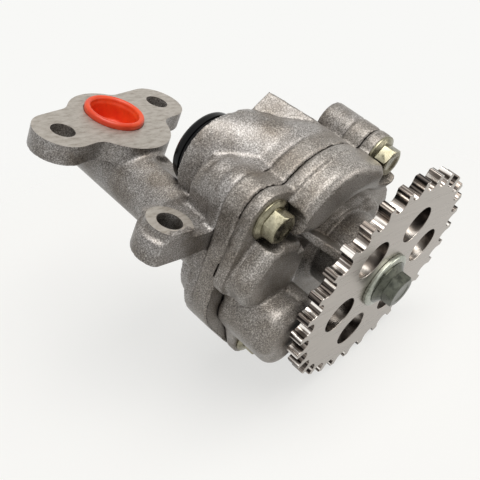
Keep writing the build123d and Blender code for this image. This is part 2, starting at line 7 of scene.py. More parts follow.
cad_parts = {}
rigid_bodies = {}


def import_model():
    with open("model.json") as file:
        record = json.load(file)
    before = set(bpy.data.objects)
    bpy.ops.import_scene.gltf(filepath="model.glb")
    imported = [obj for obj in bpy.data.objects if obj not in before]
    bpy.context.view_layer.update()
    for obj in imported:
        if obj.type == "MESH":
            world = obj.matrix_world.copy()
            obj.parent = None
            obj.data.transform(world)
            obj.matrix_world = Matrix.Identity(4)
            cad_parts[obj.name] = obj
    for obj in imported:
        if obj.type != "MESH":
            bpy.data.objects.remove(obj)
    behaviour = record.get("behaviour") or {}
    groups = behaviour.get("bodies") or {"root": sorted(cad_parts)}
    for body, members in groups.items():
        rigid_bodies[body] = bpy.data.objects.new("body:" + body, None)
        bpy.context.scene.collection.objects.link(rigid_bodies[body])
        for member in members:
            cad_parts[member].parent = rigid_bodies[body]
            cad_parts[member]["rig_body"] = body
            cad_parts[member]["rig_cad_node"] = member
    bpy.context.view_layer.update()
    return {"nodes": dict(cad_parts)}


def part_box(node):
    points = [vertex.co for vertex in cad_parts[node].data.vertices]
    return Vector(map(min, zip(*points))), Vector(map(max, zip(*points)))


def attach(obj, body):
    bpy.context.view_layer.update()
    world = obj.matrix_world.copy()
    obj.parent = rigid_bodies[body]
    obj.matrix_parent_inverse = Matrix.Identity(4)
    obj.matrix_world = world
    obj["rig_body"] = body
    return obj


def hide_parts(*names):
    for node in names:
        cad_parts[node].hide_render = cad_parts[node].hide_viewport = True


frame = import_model()
nodes = frame["nodes"]
scene = bpy.context.scene
scene.view_settings.view_transform = "Standard"
print("stage: frame loaded,", len(nodes), "nodes")

# Camera: the photograph's viewing place and tilt, in metres
cameraView = {
    "place": (-0.18376, -0.17580, 0.12023),
    "right": (0.63077, -0.69488, 0.34535),
    "up": (0.21323, 0.58314, 0.78389),
    "lens": 54.07,
    "sensor": 36.0,
    "clipFrom": 0.01,
}

# Table: the pump lies tilted, so the table's normal leans in the pump's frame
table = {
    "normal": (-0.35, 0.27, 0.90),
    "centre": (0.03, -0.06, -0.05),
    "below": 0.0003,
    "radius": 0.30,
    "sides": 96,
    "fadeFrom": 0.13,
    "fadeTo": 0.27,
    "colour": "#F4F3F1",
    "roughness": 0.7,
    "specular": 0.2,
    "glow": 0.70,
}

# Lamps: places in metres; a sun's spread is in degrees, an area lamp's in metres
lamps = {
    "skylight": {"kind": "SUN", "place": (-0.20, -0.07, 0.80), "spread": 50, "power": 2.8,
                 "colour": "#FFFDF9"},
    "window": {"kind": "AREA", "place": (-0.65, -0.35, 0.45), "spread": 0.40, "power": 0.6,
               "colour": "#F7F9FF"},
    "side": {"kind": "AREA", "place": (0.45, -0.60, 0.35), "spread": 0.30, "power": 1.4,
             "colour": "#FFFAF4"},
}
room = {"seen": "#F8F8F6", "light": "#F5F6F8", "lightStrength": 0.11}
aim = Vector((0.03, -0.07, -0.01))


def toLinear(hexCode):
    values = [int(hexCode[i:i + 2], 16) / 255 for i in (1, 3, 5)]
    return [v / 12.92 if v <= 0.04045 else ((v + 0.055) / 1.055) ** 2.4 for v in values] + [1.0]


def perMm(size):
    return 1000.0 / size  # texture scale that gives features this many millimetres across


def addNode(tree, kind, settings=None, inputs=None, links=None, stops=()):
    node = tree.nodes.new(kind)
    for name, value in (settings or {}).items():
        setattr(node, name, value)
    for name, value in (inputs or {}).items():
        node.inputs[name].default_value = value
    for name, source in (links or {}).items():
        tree.links.new(source, node.inputs[name])
    for index in range(2, len(stops)):
        node.color_ramp.elements.new(index / len(stops))  # a new ramp has two stops
    for index, (place, colour) in enumerate(stops):
        node.color_ramp.elements[index].position = place
        node.color_ramp.elements[index].color = toLinear(colour)
    return node


def seenRays(tree):
    # 1 where the camera, a reflection or a clear piece looks, and 0 for light on the pump
    path = addNode(tree, "ShaderNodeLightPath")
    seen = path.outputs["Is Camera Ray"]
    for ray in ("Is Glossy Ray", "Is Transmission Ray"):
        either = addNode(tree, "ShaderNodeMath", {"operation": "MAXIMUM"},
                         links={0: seen, 1: path.outputs[ray]})
        seen = either.outputs[0]
    return seen


def newMaterial(name):
    material = bpy.data.materials.new(name)
    material.use_nodes = True
    tree = material.node_tree
    tree.nodes.clear()
    shader = addNode(tree, "ShaderNodeBsdfPrincipled")
    addNode(tree, "ShaderNodeOutputMaterial", links={"Surface": shader.outputs["BSDF"]})
    coordinates = addNode(tree, "ShaderNodeTexCoord").outputs["Object"]
    return material, tree, shader, coordinates


# Camera and light
def makeCamera():
    right = Vector(cameraView["right"]).normalized()
    up = Vector(cameraView["up"]).normalized()
    back = right.cross(up)
    place = Vector(cameraView["place"])
    camera = bpy.data.objects.new("photoCamera", bpy.data.cameras.new("photoCamera"))
    scene.collection.objects.link(camera)
    camera.data.sensor_width = cameraView["sensor"]
    camera.data.lens = cameraView["lens"]
    camera.data.clip_start = cameraView["clipFrom"]
    columns = [right, up, back, place]
    camera.matrix_world = Matrix([[column[i] for column in columns] for i in range(3)] + [[0, 0, 0, 1]])
    scene.camera = camera


def makeLamps():
    for name, spec in lamps.items():
        lamp = bpy.data.lights.new(name, spec["kind"])
        lamp.energy = spec["power"]
        if spec["kind"] == "SUN":
            lamp.angle = math.radians(spec["spread"])
        else:
            lamp.size = spec["spread"]
        lamp.color = toLinear(spec["colour"])[:3]
        holder = bpy.data.objects.new(name, lamp)
        holder.location = spec["place"]
        holder.rotation_euler = (aim - Vector(spec["place"])).to_track_quat("-Z", "Y").to_euler()
        scene.collection.objects.link(holder)


def makeWorld():
    world = bpy.data.worlds.new("paleRoom")
    scene.world = world
    world.use_nodes = True
    tree = world.node_tree
    tree.nodes.clear()
    seen = seenRays(tree)
    light = addNode(tree, "ShaderNodeBackground",
                    inputs={"Color": toLinear(room["light"]), "Strength": room["lightStrength"]})
    white = addNode(tree, "ShaderNodeBackground", inputs={"Color": toLinear(room["seen"]), "Strength": 1.0})
    mix = addNode(tree, "ShaderNodeMixShader", links={0: seen, 1: light.outputs[0], 2: white.outputs[0]})
    addNode(tree, "ShaderNodeOutputWorld", links={"Surface": mix.outputs[0]})


def makeTable():
    normal = Vector(table["normal"]).normalized()
    low = min((v.co.dot(normal) for o in nodes.values() for v in o.data.vertices))
    centre = Vector(table["centre"])
    centre = centre + normal * (low - table["below"] - centre.dot(normal))
    bpy.ops.object.select_all(action="DESELECT")
    bpy.ops.mesh.primitive_circle_add(vertices=table["sides"], radius=table["radius"], fill_type="NGON")
    top = bpy.context.object
    top.name = "tableTop"
    turn = Vector((0, 0, 1)).rotation_difference(normal).to_matrix().to_4x4()
    top.data.transform(Matrix.Translation(centre) @ turn)
    material, tree, shader, coordinates = newMaterial("paleTableTop")
    # laminate table top: even, pale and slightly satin; its rim fades into the white room,
    # and what the camera or a reflection sees of it is part room white, so its shadows stay soft
    shader.inputs["Base Color"].default_value = toLinear(table["colour"])
    shader.inputs["Roughness"].default_value = table["roughness"]
    shader.inputs["Specular IOR Level"].default_value = table["specular"]
    seen = seenRays(tree)
    share = addNode(tree, "ShaderNodeMath", {"operation": "MULTIPLY"}, {1: table["glow"]}, {0: seen})
    glow = addNode(tree, "ShaderNodeEmission", inputs={"Color": toLinear(room["seen"]), "Strength": 1.0})
    lit = addNode(tree, "ShaderNodeMixShader",
                  links={0: share.outputs[0], 1: shader.outputs[0], 2: glow.outputs[0]})
    away = addNode(tree, "ShaderNodeVectorMath", {"operation": "DISTANCE"}, {1: centre}, {0: coordinates})
    fade = addNode(tree, "ShaderNodeMapRange", {"interpolation_type": "SMOOTHSTEP"},
                   {"From Min": table["fadeFrom"], "From Max": table["fadeTo"]},
                   {"Value": away.outputs["Value"]})
    clear = addNode(tree, "ShaderNodeBsdfTransparent")
    mix = addNode(tree, "ShaderNodeMixShader",
                  links={0: fade.outputs[0], 1: lit.outputs[0], 2: clear.outputs[0]})
    output = [n for n in tree.nodes if n.type == "OUTPUT_MATERIAL"][0]
    tree.links.new(mix.outputs[0], output.inputs["Surface"])
    top.data.materials.append(material)


makeCamera()
makeLamps()
makeWorld()
makeTable()
print("stage: camera, lamps and table made")


# Modelling helpers: every piece is a mesh at the origin, with its place in its vertices
def selectOnly(piece):
    bpy.ops.object.select_all(action="DESELECT")
    piece.select_set(True)
    bpy.context.view_layer.objects.active = piece


def bakePlace(piece):
    selectOnly(piece)
    bpy.ops.object.transform_apply(location=True, rotation=True, scale=True)
    return piece


def addModifier(piece, kind, **settings):
    selectOnly(piece)
    modifier = piece.modifiers.new(kind.lower(), kind)
    for name, value in settings.items():
        setattr(modifier, name, value)
    bpy.ops.object.modifier_apply(modifier=modifier.name)
    return piece


def cleanNormals(piece, merge=0.00001):
    selectOnly(piece)
    bpy.ops.object.mode_set(mode="EDIT")
    bpy.ops.mesh.select_all(action="SELECT")
    bpy.ops.mesh.remove_doubles(threshold=merge)
    bpy.ops.mesh.normals_make_consistent(inside=False)
    bpy.ops.object.mode_set(mode="OBJECT")
    return piece


def copyNode(nodeName, pieceName):
    node = nodes[nodeName]
    piece = node.copy()
    piece.data = node.data.copy()
    piece.parent = None
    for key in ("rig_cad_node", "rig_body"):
        if key in piece:
            del piece[key]
    piece.name = pieceName
    piece.data.name = pieceName
    piece.data.materials.clear()
    scene.collection.objects.link(piece)
    return cleanNormals(piece)


def drum(start, end, radius, sides=96):
    way = end - start
    turn = Vector((0, 0, 1)).rotation_difference(way).to_euler()
    bpy.ops.object.select_all(action="DESELECT")
    bpy.ops.mesh.primitive_cone_add(vertices=sides, radius1=radius, radius2=radius, depth=way.length,
                                    location=(start + end) / 2, rotation=turn)
    return bakePlace(bpy.context.object)


def block(low, high):
    bpy.ops.object.select_all(action="DESELECT")
    bpy.ops.mesh.primitive_cube_add(size=1.0, location=(low + high) / 2, scale=high - low)
    return bakePlace(bpy.context.object)


def combine(piece, other, operation):
    selectOnly(piece)
    modifier = piece.modifiers.new("combine", "BOOLEAN")
    modifier.operation = operation
    modifier.solver = "MANIFOLD"
    modifier.object = other
    bpy.ops.object.modifier_apply(modifier=modifier.name)
    bpy.data.objects.remove(other)
    return piece


def smoothByAngle(piece, degrees):
    selectOnly(piece)
    bpy.ops.object.shade_smooth_by_angle(angle=math.radians(degrees))
    return piece


def finish(piece, material, body, replaced=()):
    piece.data.materials.clear()
    piece.data.materials.append(material)
    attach(piece, body)
    if replaced:
        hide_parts(*replaced)
    return piece


# The pump's own places, read from the frame: drive axis, idler axis and the sprocket's face
def centreOf(nodeName):
    low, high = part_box(nodeName)
    return (low + high) / 2


driveCentre = centreOf("drive_gear")
idlerCentre = centreOf("idler_shaft")
reliefCentre = centreOf("relief_piston")
capCentre = centreOf("suction_cap")
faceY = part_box("sprocket")[0].y


def atStation(offset, distance, centre=driveCentre):
    # offset across an axis and distance back from the sprocket's face, in millimetres
    return Vector((centre.x + offset[0] / 1000, faceY + distance / 1000, centre.z + offset[1] / 1000))


# The pump's layout in millimetres: cover bolts across the drive axis, and joint faces as stations
pump = {
    "bolts": [(-56.0, 23.5), (1.0, 40.0), (-30.0, -39.5), (26.5, -23.0)],
    "dowelBolts": [0, 3],
    "coverFace": 26.0,
    "coverBack": 31.0,
    "bodyBack": 38.5,
    "domeBack": 62.0,
}
coverJoint = atStation((0, 0), pump["coverBack"]).y
bodyJoint = atStation((0, 0), pump["bodyBack"]).y

# Castings: cast proud and rounded, then machined on their joint faces, pads and bores.
# A machined face is (axis, level in metres, stock in millimetres, zone), and a seam is
# (level in metres, depth and width of its groove in millimetres)
everywhere = ((-0.2, -0.2, -0.2), (0.2, 0.2, 0.2))
flangeZone = ((-0.2, -0.0265, -0.2), (0.2, 0.2, 0.2))
bracketZone = ((-0.2, -0.077, -0.2), (-0.0145, -0.045, 0.2))
castings = {
    "front_cover": {
        "piece": "frontCoverCasting", "voxelMm": 0.62, "smooth": 4, "angle": 32,
        "machined": [(1, coverJoint, 0.3, everywhere)],
        "seams": [(coverJoint, 0.9, 1.2)],
    },
    "centre_body": {
        "piece": "centreBodyCasting", "voxelMm": 0.70, "smooth": 3, "angle": 32,
        "machined": [(1, coverJoint, -0.3, everywhere), (1, bodyJoint, 0.8, everywhere)],
        "seams": [(coverJoint, 0.45, 0.7), (bodyJoint, 0.35, 0.7)],
    },
    "rear_housing": {
        "piece": "rearHousingCasting", "voxelMm": 0.76, "smooth": 4, "angle": 32,
        "machined": [(1, bodyJoint, -0.8, everywhere), (2, 0.0, 1.5, flangeZone), (2, 0.0, 1.5, bracketZone)],
        "seams": [(bodyJoint, 0.35, 0.7)],
    },
}
castSkin = {"smoothFactor": 0.5, "faceReach": 0.00003, "sideways": 0.3}

# Drilled and bored holes in millimetres: radius, the axes, and for each casting the stations
# between which the drill passes
boreGap = 0.06
onDrive = [((0, 0), driveCentre)]
onIdler = [((0, 0), idlerCentre)]
onBolts = [(place, driveCentre) for place in pump["bolts"]]
onDowels = [onBolts[index] for index in pump["dowelBolts"]]
bores = {
    "gears": {"radius": 21.1 + boreGap, "axes": onDrive + onIdler,
              "centre_body": (30, 40), "rear_housing": (37, 46.05)},
    "shaft": {"radius": 11.02 + boreGap, "axes": onDrive, "front_cover": (-1, 32), "rear_housing": (37, 59)},
    "idlerShaft": {"radius": 7.02 + boreGap, "axes": onIdler,
                   "front_cover": (20.9, 32), "rear_housing": (37, 56.1)},
    "boltSeat": {"radius": 8.62, "axes": onBolts, "front_cover": (4, 26)},
    "boltHole": {"radius": 4.55, "axes": onBolts, "front_cover": (20, 32), "centre_body": (30, 40)},
    "boltThread": {"radius": 4.06, "axes": onBolts, "rear_housing": (37, 49)},
    "dowel": {"radius": 6.06, "axes": onDowels, "front_cover": (27.95, 32), "centre_body": (30, 40),
              "rear_housing": (37, 41.55)},
}


def liftFace(piece, axis, level, stockMm, zone):
    low, high = zone
    selectOnly(piece)
    bpy.ops.object.mode_set(mode="EDIT")
    bpy.ops.mesh.select_all(action="DESELECT")
    bpy.ops.object.mode_set(mode="OBJECT")
    for vertex in piece.data.vertices:
        inside = all(low[i] < vertex.co[i] < high[i] for i in range(3))
        vertex.select = inside and abs(vertex.co[axis] - level) < castSkin["faceReach"]
    bpy.ops.object.mode_set(mode="EDIT")
    bpy.ops.mesh.select_mode(type="VERT")
    move = [0.0, 0.0, 0.0]
    move[axis] = stockMm / 1000
    bpy.ops.transform.translate(value=move)
    bpy.ops.object.mode_set(mode="OBJECT")


def millFace(piece, axis, level, stockMm, zone):
    low, high = Vector(zone[0]), Vector(zone[1])
    if stockMm > 0:
        low[axis] = level
    else:
        high[axis] = level
    return combine(piece, block(low, high), "DIFFERENCE")


def easeSeam(piece, level, deepMm, wideMm):
    # the rim beside a joint face is drawn in, so that two castings meet in a fine groove
    addModifier(piece, "TRIANGULATE")
    outward = [vertex.normal.copy() for vertex in piece.data.vertices]
    for vertex, normal in zip(piece.data.vertices, outward):
        away = abs(vertex.co.y - level) * 1000
        side = Vector((normal.x, 0, normal.z))
        if away < wideMm and side.length > castSkin["sideways"]:
            vertex.co -= side.normalized() * deepMm / 1000 * (1 - away / wideMm)


def drillHoles(piece, nodeName):
    for bore in bores.values():
        if nodeName in bore:
            start, end = bore[nodeName]
            for offset, centre in bore["axes"]:
                enters = atStation(offset, start, centre)
                leaves = atStation(offset, end, centre)
                combine(piece, drum(enters, leaves, bore["radius"] / 1000), "DIFFERENCE")


# The suction chamber's front edge, round the hollow beside the hub, in millimetres
chamberLip = {
    "hollow": (-8.0, -2.0),
    "radius": 29.5,
    "wide": 10.0,
    "reach": 1.1,
    "front": 17.0,
    "foot": 25.0,
    "ahead": 1.0,
    "fall": 4.5,
    "curve": 1.6,
    "lowest": -4.0,
}


def slopeLip(piece, spec):
    # the suction chamber's face falls away towards the hub in a long soft lip
    centre = atStation(spec["hollow"], 0)
    for vertex in piece.data.vertices:
        reach = math.hypot(vertex.co.x - centre.x, vertex.co.z - centre.z) * 1000
        depth = (vertex.co.y - faceY) * 1000
        share = 1 - (reach - spec["radius"]) / spec["wide"]
        deepEnough = spec["front"] - spec["ahead"] < depth < spec["foot"]
        if 0 < share < spec["reach"] and deepEnough and vertex.co.z * 1000 > spec["lowest"]:
            fade = (spec["foot"] - depth) / (spec["foot"] - spec["front"])
            vertex.co.y += spec["fall"] / 1000 * min(share, 1) ** spec["curve"] * fade


def makeCasting(nodeName):
    spec = castings[nodeName]
    piece = copyNode(nodeName, spec["piece"])
    for axis, level, stock, zone in spec["machined"]:
        liftFace(piece, axis, level, stock, zone)
    addModifier(piece, "REMESH", mode="VOXEL", voxel_size=spec["voxelMm"] / 1000)
    addModifier(piece, "SMOOTH", factor=castSkin["smoothFactor"], iterations=spec["smooth"])
    for axis, level, stock, zone in spec["machined"]:
        millFace(piece, axis, level, stock, zone)
    if nodeName == "front_cover":
        slopeLip(piece, chamberLip)
    drillHoles(piece, nodeName)
    for level, deep, wide in spec["seams"]:
        easeSeam(piece, level, deep, wide)
    return smoothByAngle(piece, spec["angle"])


# Die-cast aluminium, bead-blasted: a fine light and dark speckle, greyer stains, painted shade that darkens
# the corners and recesses, and pads milled bright at z = 0. The speckle is drawn coarser than the real grit
castLook = {
    "speckleMm": 0.50,
    "speckleNoise": {"Detail": 4.0, "Roughness": 0.65},
    "speckle": [(0.34, "#5B5855"), (0.45, "#85817E"), (0.54, "#9D9996"), (0.66, "#CDCAC7")],
    "stainMm": 16.0,
    "stainNoise": {"Detail": 5.0, "Roughness": 0.6},
    "stain": [(0.36, "#C4BDB4"), (0.60, "#FFFFFF")],
    "smearMm": (5.0, 1.6, 5.0),
    "smearNoise": {"Detail": 6.0, "Roughness": 0.7},
    "milled": [(0.36, "#8F877D"), (0.47, "#A69F96"), (0.60, "#B3ADA5")],
    "milledUpright": 0.985,
    "milledReach": 0.00008,
    # painted shade: corners and recesses are darkened by their ambient occlusion over this reach, standing in
    # for the shade that falls there
    "cornerShadeMm": 15.0,
    "corner": [(0.08, "#0B0A0A"), (0.24, "#6E6B69"), (0.48, "#FFFFFF")],
    "cornerShadeSamples": 8,
    "metallic": 0.50,
    "roughness": (0.28, 0.50),
    "bumpMm": 0.14,
    "bump": 0.5,
}
grainRange = (0.3, 0.7)  # the part of a noise's values that a roughness spreads over


def dullByGrain(tree, shader, grain, roughness):
    # the metal is shinier where its grain is low, and duller where it is high
    rough = addNode(tree, "ShaderNodeMapRange", {},
                    {"From Min": grainRange[0], "From Max": grainRange[1],
                     "To Min": roughness[0], "To Max": roughness[1]}, {"Value": grain})
    tree.links.new(rough.outputs[0], shader.inputs["Roughness"])


def drawnGrain(tree, coordinates, sizes, noise):
    # grain drawn out to its own length in millimetres along each axis
    stretch = addNode(tree, "ShaderNodeMapping", {}, {"Scale": [perMm(size) for size in sizes]},
                      {"Vector": coordinates})
    grain = addNode(tree, "ShaderNodeTexNoise", {}, {"Scale": 1.0, **noise}, {"Vector": stretch.outputs[0]})
    return grain.outputs["Fac"]


def castAluminium(name, tone="#FFFFFF"):
    material, tree, shader, coordinates = newMaterial(name)
    speckle = addNode(tree, "ShaderNodeTexNoise", {},
                      {"Scale": perMm(castLook["speckleMm"]), **castLook["speckleNoise"]},
                      {"Vector": coordinates})
    stain = addNode(tree, "ShaderNodeTexNoise", {},
                    {"Scale": perMm(castLook["stainMm"]), **castLook["stainNoise"]}, {"Vector": coordinates})
    # painted shade: the ambient occlusion of each point darkens its colour in corners and recesses
    corner = addNode(tree, "ShaderNodeAmbientOcclusion", {"samples": castLook["cornerShadeSamples"]},
                     {"Distance": castLook["cornerShadeMm"] / 1000})
    ramp = "ShaderNodeValToRGB"
    colour = addNode(tree, ramp, links={"Fac": speckle.outputs["Fac"]}, stops=castLook["speckle"])
    stains = addNode(tree, ramp, links={"Fac": stain.outputs["Fac"]}, stops=castLook["stain"])
    cornerShadePaint = addNode(tree, ramp, links={"Fac": corner.outputs["AO"]}, stops=castLook["corner"])
    multiply = {"data_type": "RGBA", "blend_type": "MULTIPLY"}
    stained = addNode(tree, "ShaderNodeMix", multiply, {0: 1.0}, {6: colour.outputs[0], 7: stains.outputs[0]})
    toned = addNode(tree, "ShaderNodeMix", multiply, {0: 1.0, 7: toLinear(tone)}, {6: stained.outputs[2]})
    # the stained and toned colour is multiplied by the painted corner shade
    cornerShaded = addNode(tree, "ShaderNodeMix", multiply, {0: 1.0}, {6: toned.outputs[2], 7: cornerShadePaint.outputs[0]})
    smear = drawnGrain(tree, coordinates, castLook["smearMm"], castLook["smearNoise"])
    milledColour = addNode(tree, ramp, links={"Fac": smear}, stops=castLook["milled"])
    geometry = addNode(tree, "ShaderNodeNewGeometry")
    normal = addNode(tree, "ShaderNodeSeparateXYZ", links={0: geometry.outputs["True Normal"]})
    place = addNode(tree, "ShaderNodeSeparateXYZ", links={0: coordinates})
    facesUp = addNode(tree, "ShaderNodeMath", {"operation": "GREATER_THAN"},
                      {1: castLook["milledUpright"]}, {0: normal.outputs["Z"]})
    atTop = addNode(tree, "ShaderNodeMath", {"operation": "COMPARE"},
                    {1: 0.0, 2: castLook["milledReach"]}, {0: place.outputs["Z"]})
    milled = addNode(tree, "ShaderNodeMath", {"operation": "MULTIPLY"},
                     links={0: facesUp.outputs[0], 1: atTop.outputs[0]})
    final = addNode(tree, "ShaderNodeMix", {"data_type": "RGBA"}, {},
                    {0: milled.outputs[0], 6: cornerShaded.outputs[2], 7: milledColour.outputs[0]})
    tree.links.new(final.outputs[2], shader.inputs["Base Color"])
    dullByGrain(tree, shader, speckle.outputs["Fac"], castLook["roughness"])
    shader.inputs["Metallic"].default_value = castLook["metallic"]
    bump = addNode(tree, "ShaderNodeBump", {},
                   {"Strength": castLook["bump"], "Distance": castLook["bumpMm"] / 1000},
                   {"Height": speckle.outputs["Fac"]})
    tree.links.new(bump.outputs[0], shader.inputs["Normal"])
    return material


# Plain metals and plastics: one colour with a fine variation and a matching roughness
finishes = {
    # yellow-passivated zinc plate: a straw metal with a soft shine
    "zincYellow": {"colours": ("#6C6856", "#A19C87"), "grainMm": (2.5, 2.5, 2.5), "rough": (0.20, 0.34)},
    # olive zinc plate on the sprocket's bolt and on its washer, in two copies: darker on the bolt as painted
    # shade, paler on the washer as painted light
    "zincBoltShaded": {"colours": ("#3E403A", "#686A60"), "grainMm": (3.0, 3.0, 3.0), "rough": (0.22, 0.36)},
    "zincWasherLit": {"colours": ("#7C7F75", "#AEB1A6"), "grainMm": (3.0, 3.0, 3.0), "rough": (0.22, 0.36)},
    # ground steel: bright, with marks drawn out along the shaft
    "groundSteel": {"colours": ("#A9A9AB", "#C9C9CB"), "grainMm": (0.4, 8.0, 0.4), "rough": (0.18, 0.30)},
    # sintered steel: grey and dull, from pressed powder
    "sinteredSteel": {"colours": ("#6E6E70", "#8B8B8D"), "grainMm": (0.8, 0.8, 0.8), "rough": (0.35, 0.50)},
    # cast bronze, turned: a brown gold with a low shine
    "bearingBronze": {"colours": ("#A5824E", "#C9A468"), "grainMm": (1.2, 1.2, 1.2), "rough": (0.30, 0.45)},
    # annealed copper washer: a dull reddish metal
    "annealedCopper": {"colours": ("#A8603F", "#C97F58"), "grainMm": (2.0, 2.0, 2.0), "rough": (0.25, 0.40)},
    # drawn spring wire: dark and fairly smooth
    "springWire": {"colours": ("#5E5E62", "#86868A"), "grainMm": (1.5, 1.5, 1.5), "rough": (0.25, 0.35)},
    # moulded polyethylene: an even orange, slightly waxy
    "softPolyethylene": {"colours": ("#D8391A", "#EC5322"), "grainMm": (7.0, 7.0, 7.0), "rough": (0.34, 0.46),
                         "metal": 0.0},
    # moulded nylon: black and glossy
    "glossyNylon": {"colours": ("#050506", "#0C0C0E"), "grainMm": (4.0, 4.0, 4.0), "rough": (0.14, 0.24),
                    "metal": 0.0, "specular": 0.16},
}
grainNoise = {"Detail": 4.0, "Roughness": 0.6}


def plainFinish(name):
    spec = finishes[name]
    material, tree, shader, coordinates = newMaterial(name)
    grain = drawnGrain(tree, coordinates, spec["grainMm"], grainNoise)
    colour = addNode(tree, "ShaderNodeValToRGB", links={"Fac": grain},
                     stops=list(zip(grainRange, spec["colours"])))
    tree.links.new(colour.outputs[0], shader.inputs["Base Color"])
    dullByGrain(tree, shader, grain, spec["rough"])
    shader.inputs["Metallic"].default_value = spec.get("metal", 1.0)
    shader.inputs["Specular IOR Level"].default_value = spec.get("specular", 0.5)
    return material


# Blanked and hardened steel: a smooth, faintly streaked face, and flanks ruled by the tool from
# face to face. The rules are drawn coarser than the real ones, so that they show
sprocketSteel = {
    "streakMm": (26.0, 26.0, 1.6),
    "streakNoise": {"Detail": 5.0, "Roughness": 0.55},
    "face": [(0.34, "#989189"), (0.66, "#AAA39C")],
    "faceTilt": 0.45,
    "ruleMm": (1.5, 60.0, 1.5),
    "ruleNoise": {"Detail": 2.0, "Roughness": 0.5},
    "flank": [(0.40, "#1D1A19"), (0.48, "#6E6660"), (0.54, "#A59C95"), (0.60, "#FFFBF6")],
    # the holes' walls: the steel drawn darker, with light and dark patches, as painted shade and painted
    # light inside the holes
    "holeMm": 9.0,
    "holeDetail": 1.0,
    "hole": [(0.40, "#35302D"), (0.52, "#6E6761"), (0.62, "#C9C2BB")],
    "holesWithin": 40.0,
    "roughness": (0.24, 0.36),
}


def blankedSteel(name):
    material, tree, shader, coordinates = newMaterial(name)
    streaks = drawnGrain(tree, coordinates, sprocketSteel["streakMm"], sprocketSteel["streakNoise"])
    rules = drawnGrain(tree, coordinates, sprocketSteel["ruleMm"], sprocketSteel["ruleNoise"])
    # painted shade in the holes: blotches that darken and lighten the holes' walls
    shade = addNode(tree, "ShaderNodeTexNoise", {},
                    {"Scale": perMm(sprocketSteel["holeMm"]), "Detail": sprocketSteel["holeDetail"]},
                    {"Vector": coordinates})
    ramp = "ShaderNodeValToRGB"
    face = addNode(tree, ramp, links={"Fac": streaks}, stops=sprocketSteel["face"])
    flank = addNode(tree, ramp, links={"Fac": rules}, stops=sprocketSteel["flank"])
    holeWallPaintedShade = addNode(tree, ramp, links={"Fac": shade.outputs["Fac"]}, stops=sprocketSteel["hole"])
    # distance from the drive axis, which parts the holes' walls from the teeth's flanks
    spread = addNode(tree, "ShaderNodeVectorMath", {"operation": "SUBTRACT"}, {1: driveCentre},
                     {0: coordinates})
    spread = addNode(tree, "ShaderNodeVectorMath", {"operation": "MULTIPLY"}, {1: (1.0, 0.0, 1.0)},
                     {0: spread.outputs[0]})
    spread = addNode(tree, "ShaderNodeVectorMath", {"operation": "LENGTH"}, links={0: spread.outputs[0]})
    atTeeth = addNode(tree, "ShaderNodeMath", {"operation": "GREATER_THAN"},
                      {1: sprocketSteel["holesWithin"] / 1000}, {0: spread.outputs["Value"]})
    wall = addNode(tree, "ShaderNodeMix", {"data_type": "RGBA"}, {},
                   {0: atTeeth.outputs[0], 6: holeWallPaintedShade.outputs[0], 7: flank.outputs[0]})
    geometry = addNode(tree, "ShaderNodeNewGeometry")
    normal = addNode(tree, "ShaderNodeSeparateXYZ", links={0: geometry.outputs["True Normal"]})
    level = addNode(tree, "ShaderNodeMath", {"operation": "ABSOLUTE"}, links={0: normal.outputs["Y"]})
    onFace = addNode(tree, "ShaderNodeMath", {"operation": "GREATER_THAN"},
                     {1: sprocketSteel["faceTilt"]}, {0: level.outputs[0]})
    colour = addNode(tree, "ShaderNodeMix", {"data_type": "RGBA"}, {},
                     {0: onFace.outputs[0], 6: wall.outputs[2], 7: face.outputs[0]})
    tree.links.new(colour.outputs[2], shader.inputs["Base Color"])
    dullByGrain(tree, shader, streaks, sprocketSteel["roughness"])
    shader.inputs["Metallic"].default_value = 1.0
    return material


materialOf = {
    "rear_housing": castAluminium("dieCastHousing"),
    "centre_body": castAluminium("dieCastBody", "#F4F1EC"),
    "front_cover": castAluminium("dieCastCover", "#FAF8F4"),
    "sprocket": blankedSteel("blankedSteel"),
    "cover_bolts": plainFinish("zincYellow"),
    # one zinc plating, painted darker on the bolt as shade and paler on the washer as light
    "sprocket_bolt": plainFinish("zincBoltShaded"),
    "sprocket_washer": plainFinish("zincWasherLit"),
    "drive_shaft": plainFinish("groundSteel"),
    "drive_gear": plainFinish("sinteredSteel"),
    "front_bush": plainFinish("bearingBronze"),
    "relief_washer": plainFinish("annealedCopper"),
    "relief_spring": plainFinish("springWire"),
    "outlet_plug": plainFinish("softPolyethylene"),
    "suction_cap": plainFinish("glossyNylon"),
}
sameAs = {
    "relief_plug": "cover_bolts",
    "gear_key": "drive_shaft",
    "idler_shaft": "drive_shaft",
    "relief_piston": "drive_shaft",
    "ring_dowels": "drive_shaft",
    "idler_gear": "drive_gear",
    "rear_bush": "front_bush",
    "idler_bush": "front_bush",
}
for name, node in nodes.items():
    node.data.materials.clear()
    node.data.materials.append(materialOf[sameAs.get(name, name)])
print("stage: materials given to every node")

# Fasteners are built standing on z = 0 with the head up, then turned so that up is out of the cover
# or out of the back
outOfCover = Matrix(((1, 0, 0, 0), (0, 0, -1, 0), (0, 1, 0, 0), (0, 0, 0, 1)))
outOfBack = Matrix(((1, 0, 0, 0), (0, 0, 1, 0), (0, -1, 0, 0), (0, 0, 0, 1)))


def prism(low, high, radius, sides=96, tipRadius=None, spin=0.0):
    bpy.ops.object.select_all(action="DESELECT")
    bpy.ops.mesh.primitive_cone_add(
        vertices=sides, radius1=radius / 1000, radius2=(radius if tipRadius is None else tipRadius) / 1000,
        depth=(high - low) / 1000, location=(0, 0, (low + high) / 2000), rotation=(0, 0, math.radians(spin)))
    return bakePlace(bpy.context.object)


def placeAt(piece, spot, turn=outOfCover):
    piece.data.transform(Matrix.Translation(spot) @ turn)
    return piece


